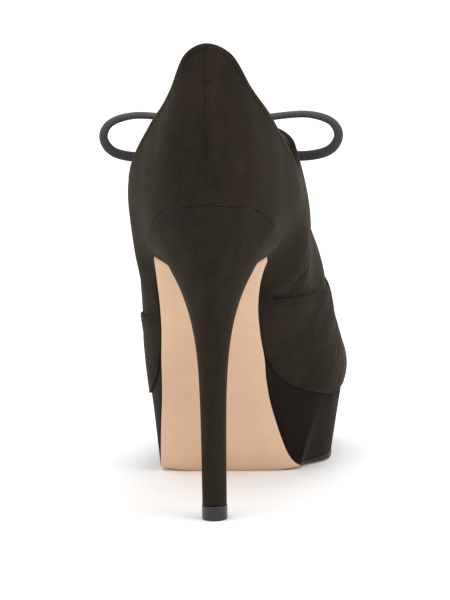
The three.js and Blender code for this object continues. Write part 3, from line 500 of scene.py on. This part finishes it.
upper_shape = quad_copy("upper")
top_line = edge_run(upper_shape, BACK_PEAK)
bottom_line = edge_run(upper_shape, TOE_FOOT)
lips = [clear_of(edge_run(upper_shape, near), top_line + bottom_line, LIP_MARGIN)
        for near in (VAMP_LIP, OTHER_LIP)]
inside = flood(min(upper_shape.faces, key=lambda face: (face.calc_center_median() - INSIDE_POINT).length))
lace_holes = punched_holes(upper_shape)
for face in upper_shape.faces:
    face.material_index = 1 if face in inside else 0
upper = finished("suede_upper", upper_shape, ROUNDING)
trough_lines = [(path_points([Vector(p) * MM for p in route], TROUGH_STEP), depth * MM, width * MM)
                for route, depth, width in TROUGHS]
for vert in upper.data.vertices:
    sink = 0.0
    for line, depth, width in trough_lines:
        gap = min((vert.co - point).length for point in line)
        sink += depth * math.exp(-(gap / width) ** 2)
    slack = noise.noise(vert.co * SLACK_SCALE) * SLACK_DEPTH
    if sink > LEAST_SINK:
        centre = Vector((vert.co.x * PRESS_ASIDE, vert.co.y, vert.co.z * PRESS_SLOPE + PRESS_HEIGHT))
        vert.co += (centre - vert.co).normalized() * sink
    vert.co.x += slack
lip_points = [point for lip in lips for point in path_points(lip, SEAM_STEP)]
lip_tree = KDTree(len(lip_points))
for i, point in enumerate(lip_points):
    lip_tree.insert(point, i)
lip_tree.balance()
seam = upper.data.attributes.new("seam_distance", "FLOAT", "POINT")
for vert in upper.data.vertices:
    gap = lip_tree.find(vert.co)[2]
    if vert.co.y < BACK_SEAM_END:
        gap = min(gap, abs(vert.co.x - BACK_SEAM))
    seam.data[vert.index].value = gap
seamed_suede = suede("seamed_suede", seams=True)
lining_leather = smooth_leather("lining_leather", LINING_PALE, LINING_DEEP, 1000.0, 0.00005, 0.04)
dress(upper, "suede", seamed_suede, lining_leather)
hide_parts("upper")


# Stitching: brown thread in lockstitch, one row inside the top line and facings, two rows on the vamp
# where it laps the quarters, and a bar at the top of the back seam.
THREAD = (0.013, 0.010, 0.007)
STITCH_PITCH = 2.7 * MM
STITCH_LENGTH = 2.1 * MM
STITCH_ROUND = 0.36 * MM
# How much of its thickness a stitch stands out of the suede
STITCH_STAND = 0.12
TOP_INSETS = [2.2 * MM]
LIP_INSETS = [1.5 * MM, 3.4 * MM]
BAR_HEIGHT = 182 * MM
BAR_LENGTH = 6.5 * MM
BAR_STITCHES = 3
BAR_ROWS = [-0.4 * MM, 0.4 * MM]
BEHIND_HEEL = -20 * MM

skin = BVHTree.FromObject(upper, bpy.context.evaluated_depsgraph_get())


def spaced(line, pitch):
    """Places and directions at an even pitch along a line"""
    result = []
    left = pitch / 2
    for a, b in zip(line, line[1:]):
        length = (b - a).length
        while left < length:
            result.append((a.lerp(b, left / length), (b - a).normalized()))
            left += pitch
        left -= length
    return result


def beside(point, along, inset):
    """The place on the skin at a distance from an edge, with the skin's normal there"""
    found = []
    normal = skin.find_nearest(point + Vector((0, 0, -inset / 2)))[1]
    for side in (-1, 1):
        wanted = point + along.cross(normal).normalized() * inset * side
        place, face_normal, _, gap = skin.find_nearest(wanted)
        found.append((gap, place, face_normal))
    found.sort(key=lambda item: item[0])
    return found[0][1], found[0][2]


def add_stitch(shape, place, along, normal):
    side = normal.cross(along).normalized()
    turned = Matrix((along, side, normal)).transposed().to_4x4()
    size = Matrix.Diagonal((STITCH_LENGTH / 2, STITCH_ROUND / 2, STITCH_ROUND / 2, 1))
    moved = Matrix.Translation(place + normal * STITCH_ROUND * STITCH_STAND)
    bmesh.ops.create_uvsphere(shape, u_segments=6, v_segments=4, radius=1, matrix=moved @ turned @ size)


stitches = bmesh.new()
for run, insets in ((top_line, TOP_INSETS), (lips[0], LIP_INSETS), (lips[1], LIP_INSETS)):
    for point, along in spaced(run, STITCH_PITCH):
        for inset in insets:
            place, normal = beside(point, along, inset)
            add_stitch(stitches, place, (along - normal * along.dot(normal)).normalized(), normal)
for row in BAR_ROWS:
    for i in range(BAR_STITCHES):
        across = (i - (BAR_STITCHES - 1) / 2) * BAR_LENGTH / BAR_STITCHES
        place, normal, _, _ = skin.find_nearest(Vector((across, BEHIND_HEEL, BAR_HEIGHT + row)))
        sideways = Vector((0, 0, 1)).cross(normal).normalized()
        add_stitch(stitches, place, sideways, normal)
stitching = finished("stitching", stitches)
thread_material, tree, surface = new_material("sewing_thread", THREAD, 0.7)
ply = wire(tree, "TexWave", {"Vector": tree.nodes.new("ShaderNodeTexCoord").outputs["Object"],
                             "Scale": 900.0, "Distortion": 1.0}, bands_direction="DIAGONAL")
twist = wire(tree, "Bump", {"Height": ply.outputs["Fac"], "Distance": 0.00006, "Strength": 0.5})
tree.links.new(twist.outputs["Normal"], surface.inputs["Normal"])
surface.inputs["Specular IOR Level"].default_value = 0.08
dress(stitching, "suede", thread_material)


# Tongue: a strip of the upper's suede sewn in under the facings, its top edge standing a little above
# them with its corners rounded.
# The tongue's suede is painted at this multiple of the upper's suede colour: painted light.
TONGUE_PAINTED_LIGHT = 2.0

tongue = finished("tongue", quad_copy("tongue"), ROUNDING)
dress(tongue, "suede", suede("tongue_suede_painted_light", lift=TONGUE_PAINTED_LIGHT))
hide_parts("tongue")


# Lace: a flat woven cotton lace, crossed over the tongue through four pairs of punched holes and tied
# in a bow at the top, with its two loops standing out to the sides and its ends hanging down the front.
LACE_WIDTH = 4.5 * MM
LACE_THICK = 2.1 * MM
LACE_GREY = (0.030, 0.029, 0.027)
LACE_DARK = (0.009, 0.0085, 0.008)
WEAVE_PITCH = 1.1 * MM
LACE_SIDES = 16
LACE_STEP = 1.2 * MM
# Below 1 the lace's section is squarer than an ellipse
LACE_SQUARE = 0.7
# The lace narrows to this share of its width over so many points of its route before a hole
HOLE_SQUEEZE = 0.55
HOLE_RUN = 1.8
BOW = Vector((0, 88.8, 148.6))
LOOP_ROUTE = [
    (4.1, 0.2, 1.7), (14, 2.0, 4.6), (26, 2.6, 6.4), (37.5, 2.8, 6.8), (46.8, 3.0, 3.8), (50.0, 3.2, -2.3),
    (46.2, 3.2, -8.4), (37, 3.0, -10.8), (26, 3.2, -10.2), (14, 3.0, -6.2), (4.1, 0.4, -1.9),
]
# How far the broad side of a loop turns from looking outward to looking back at the heel, in degrees
LOOP_TURN = [30, 26, 22, 24, 34, 52, 68, 76, 78, 76, 70]
END_ROUTE = [
    (2.2, 1.0, -3.8), (5, 7.0, -8.6), (8.5, 10.6, -14.6), (11.5, 14.5, -20.6), (13.5, 18, -26.6),
    (15, 21.5, -32.6),
]
FACING_OUT = Vector((0, 0.79, 0.61))
FACING_LEAN = 0.33
HALF_WALL = 1 * MM
# A crossing dips into its hole, stands on the rim, rests on the facing near it and arches the tongue
HOLE_DIP = 2.6 * MM
RIM_STAND = 0.4 * MM
FACING_STAND = 1.7 * MM
FACING_SHARE = 0.13
TONGUE_STAND = 3.4 * MM
UNDER = 0.0
OVER = 1.9 * MM


def woven_lace():
    material, tree, surface = new_material("woven_lace", LACE_GREY, 0.85)
    along = wire(tree, "Attribute", attribute_name="along")
    around = wire(tree, "Attribute", attribute_name="around")
    left = wire(tree, "Math", {0: along.outputs["Fac"], 1: around.outputs["Fac"]}, operation="ADD")
    right_way = wire(tree, "Math", {0: along.outputs["Fac"], 1: around.outputs["Fac"]}, operation="SUBTRACT")
    first = wire(tree, "Math", {0: left.outputs["Value"]}, operation="SINE")
    second = wire(tree, "Math", {0: right_way.outputs["Value"]}, operation="SINE")
    weave = wire(tree, "Math", {0: first.outputs["Value"], 1: second.outputs["Value"]}, operation="MAXIMUM")
    raised = wire(tree, "MapRange", {"Value": weave.outputs["Value"], "From Min": -1.0})
    fuzz = wire(tree, "TexNoise", {"Vector": tree.nodes.new("ShaderNodeTexCoord").outputs["Object"],
                                   "Scale": 1400.0, "Detail": 3.0})
    shade = wire(tree, "Mix", {0: 0.35, 2: raised.outputs["Result"], 3: fuzz.outputs["Fac"]})
    colour = wire(tree, "Mix", {0: shade.outputs[0], 6: (*LACE_DARK, 1), 7: (*LACE_GREY, 1)},
                  data_type="RGBA")
    bump = wire(tree, "Bump", {"Height": shade.outputs[0], "Distance": 0.00022, "Strength": 0.7})
    tree.links.new(colour.outputs[2], surface.inputs["Base Color"])
    tree.links.new(bump.outputs["Normal"], surface.inputs["Normal"])
    surface.inputs["Sheen Weight"].default_value = 0.25
    surface.inputs["Sheen Roughness"].default_value = 0.5
    return material


lace_material = woven_lace()


def lace_piece(name, route, faces, end_width=1.0):
    """A flat lace along a route; faces holds the way its broad side looks at each point of the route"""
    places = path_places(route, LACE_STEP)
    points = [point for point, place in places]
    shape = bmesh.new()
    along = shape.verts.layers.float.new("along")
    around = shape.verts.layers.float.new("around")
    rings = []
    gone = 0.0
    for i, (point, place) in enumerate(places):
        ahead = points[min(i + 1, len(points) - 1)]
        behind = points[max(i - 1, 0)]
        tangent = (ahead - behind).normalized()
        low = min(int(place), len(faces) - 2)
        face = faces[low].lerp(faces[low + 1], place - low)
        face = (face - tangent * face.dot(tangent)).normalized()
        side = tangent.cross(face)
        gone += (point - behind).length
        end = min(place, len(faces) - 1 - place)
        squeeze = 1 - (1 - end_width) * max(0, 1 - end / HOLE_RUN)
        ring = []
        for k in range(LACE_SIDES):
            angle = 2 * math.pi * k / LACE_SIDES
            across = math.copysign(abs(math.cos(angle)) ** LACE_SQUARE, math.cos(angle))
            sideways = across * squeeze * LACE_WIDTH / 2
            vert = shape.verts.new(point + side * sideways + face * math.sin(angle) * LACE_THICK / 2)
            vert[along] = gone / WEAVE_PITCH * math.pi
            vert[around] = sideways / WEAVE_PITCH * math.pi
            ring.append(vert)
        rings.append(ring)
    for ring, following in zip(rings, rings[1:]):
        for k in range(LACE_SIDES):
            shape.faces.new((ring[k - 1], ring[k], following[k], following[k - 1]))
    shape.faces.new(rings[0])
    shape.faces.new(rings[-1])
    bmesh.ops.recalc_face_normals(shape, faces=shape.faces)
    piece = finished(name, shape)
    dress(piece, "lace", lace_material)
    return piece, points


def loop_faces(route, side):
    """The broad side of a loop at each point: outward from the loop, turned to look back at the heel"""
    faces = []
    for i, turned in enumerate(LOOP_TURN):
        tangent = (route[min(i + 1, len(route) - 1)] - route[max(i - 1, 0)]).normalized()
        outward = tangent.cross(Vector((0, side, 0))).normalized()
        angle = math.radians(turned)
        faces.append(outward * math.cos(angle) + Vector((0, -1, 0)) * math.sin(angle))
    return faces


for name, side in (("left", -1), ("right", 1)):
    loop_route = [(Vector((side * x, y, z)) + BOW) * MM for x, y, z in LOOP_ROUTE]
    end_route = [(Vector((side * x, y, z)) + BOW) * MM for x, y, z in END_ROUTE]
    for kind, route, faces, far_end in (
        ("loop", loop_route, loop_faces(loop_route, side), "object"),
        ("end", end_route, [FACING_OUT] * len(END_ROUTE), "bare"),
    ):
        piece, points = lace_piece("bow_" + kind + "_" + name, route, faces)
        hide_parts("lace_" + kind + "_" + name)


def facing_normal(side):
    return (FACING_OUT + Vector((side * FACING_LEAN, 0, 0))).normalized()


def crossing_route(start, end, start_side, end_side, lift):
    """From inside one hole, out over the facing and the tongue, and into the other hole"""
    first = facing_normal(start_side)
    last = facing_normal(end_side)
    a = start + first * HALF_WALL
    b = end + last * HALF_WALL
    over = facing_normal(0)
    return [
        a - first * HOLE_DIP,
        a + first * RIM_STAND,
        a.lerp(b, FACING_SHARE) + first * FACING_STAND,
        a.lerp(b, 0.5) + over * (TONGUE_STAND + lift),
        b.lerp(a, FACING_SHARE) + last * FACING_STAND,
        b + last * RIM_STAND,
        b - last * HOLE_DIP,
    ]


def crossing_faces(start_side, end_side):
    """Edge on where the lace turns into a hole, flat over the tongue"""
    first = facing_normal(start_side)
    last = facing_normal(end_side)
    over = facing_normal(0)
    return [Vector((start_side, 0, 0)), first, first, over, last, last, Vector((end_side, 0, 0))]


crossings = [("bar", *lace_holes[0], -1, 1, UNDER)]
for i, (upper_pair, lower_pair) in enumerate(zip(lace_holes, lace_holes[1:])):
    crossings.append(("left_%d" % i, upper_pair[0], lower_pair[1], -1, 1, UNDER))
    crossings.append(("right_%d" % i, upper_pair[1], lower_pair[0], 1, -1, OVER))
cross_pieces = []
for name, start, end, start_side, end_side, lift in crossings:
    route = crossing_route(start, end, start_side, end_side, lift)
    faces = crossing_faces(start_side, end_side)
    cross_pieces.append(lace_piece("lace_cross_" + name, route, faces, HOLE_SQUEEZE)[0])
for piece in cross_pieces:
    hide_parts("lace_crossings")


# Knot: the lace drawn tight round itself, a soft square bundle with one wrap down its middle.
KNOT = Vector((4.2, 2.6, 3.6)) * MM
# Half the width of the wrap, and the knot's depth and height beside it as shares of those under it
WRAP = 1.9 * MM
BESIDE_DEPTH = 0.86
BESIDE_HEIGHT = 0.80

knot_shape = bmesh.new()
bmesh.ops.create_uvsphere(knot_shape, u_segments=32, v_segments=20, radius=1,
                          matrix=Matrix.Diagonal((*KNOT, 1)))
for vert in knot_shape.verts:
    wrap = math.exp(-(vert.co.x / WRAP) ** 4)
    vert.co.y *= BESIDE_DEPTH + (1 - BESIDE_DEPTH) * wrap
    vert.co.z *= BESIDE_HEIGHT + (1 - BESIDE_HEIGHT) * wrap
bmesh.ops.translate(knot_shape, verts=knot_shape.verts, vec=BOW * MM)
knot = finished("bow_knot", knot_shape)
along = knot.data.attributes.new("along", "FLOAT", "POINT")
around = knot.data.attributes.new("around", "FLOAT", "POINT")
for vert in knot.data.vertices:
    along.data[vert.index].value = vert.co.z / WEAVE_PITCH * math.pi
    around.data[vert.index].value = vert.co.x / WEAVE_PITCH * math.pi
dress(knot, "lace", lace_material)
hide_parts("lace_knot")
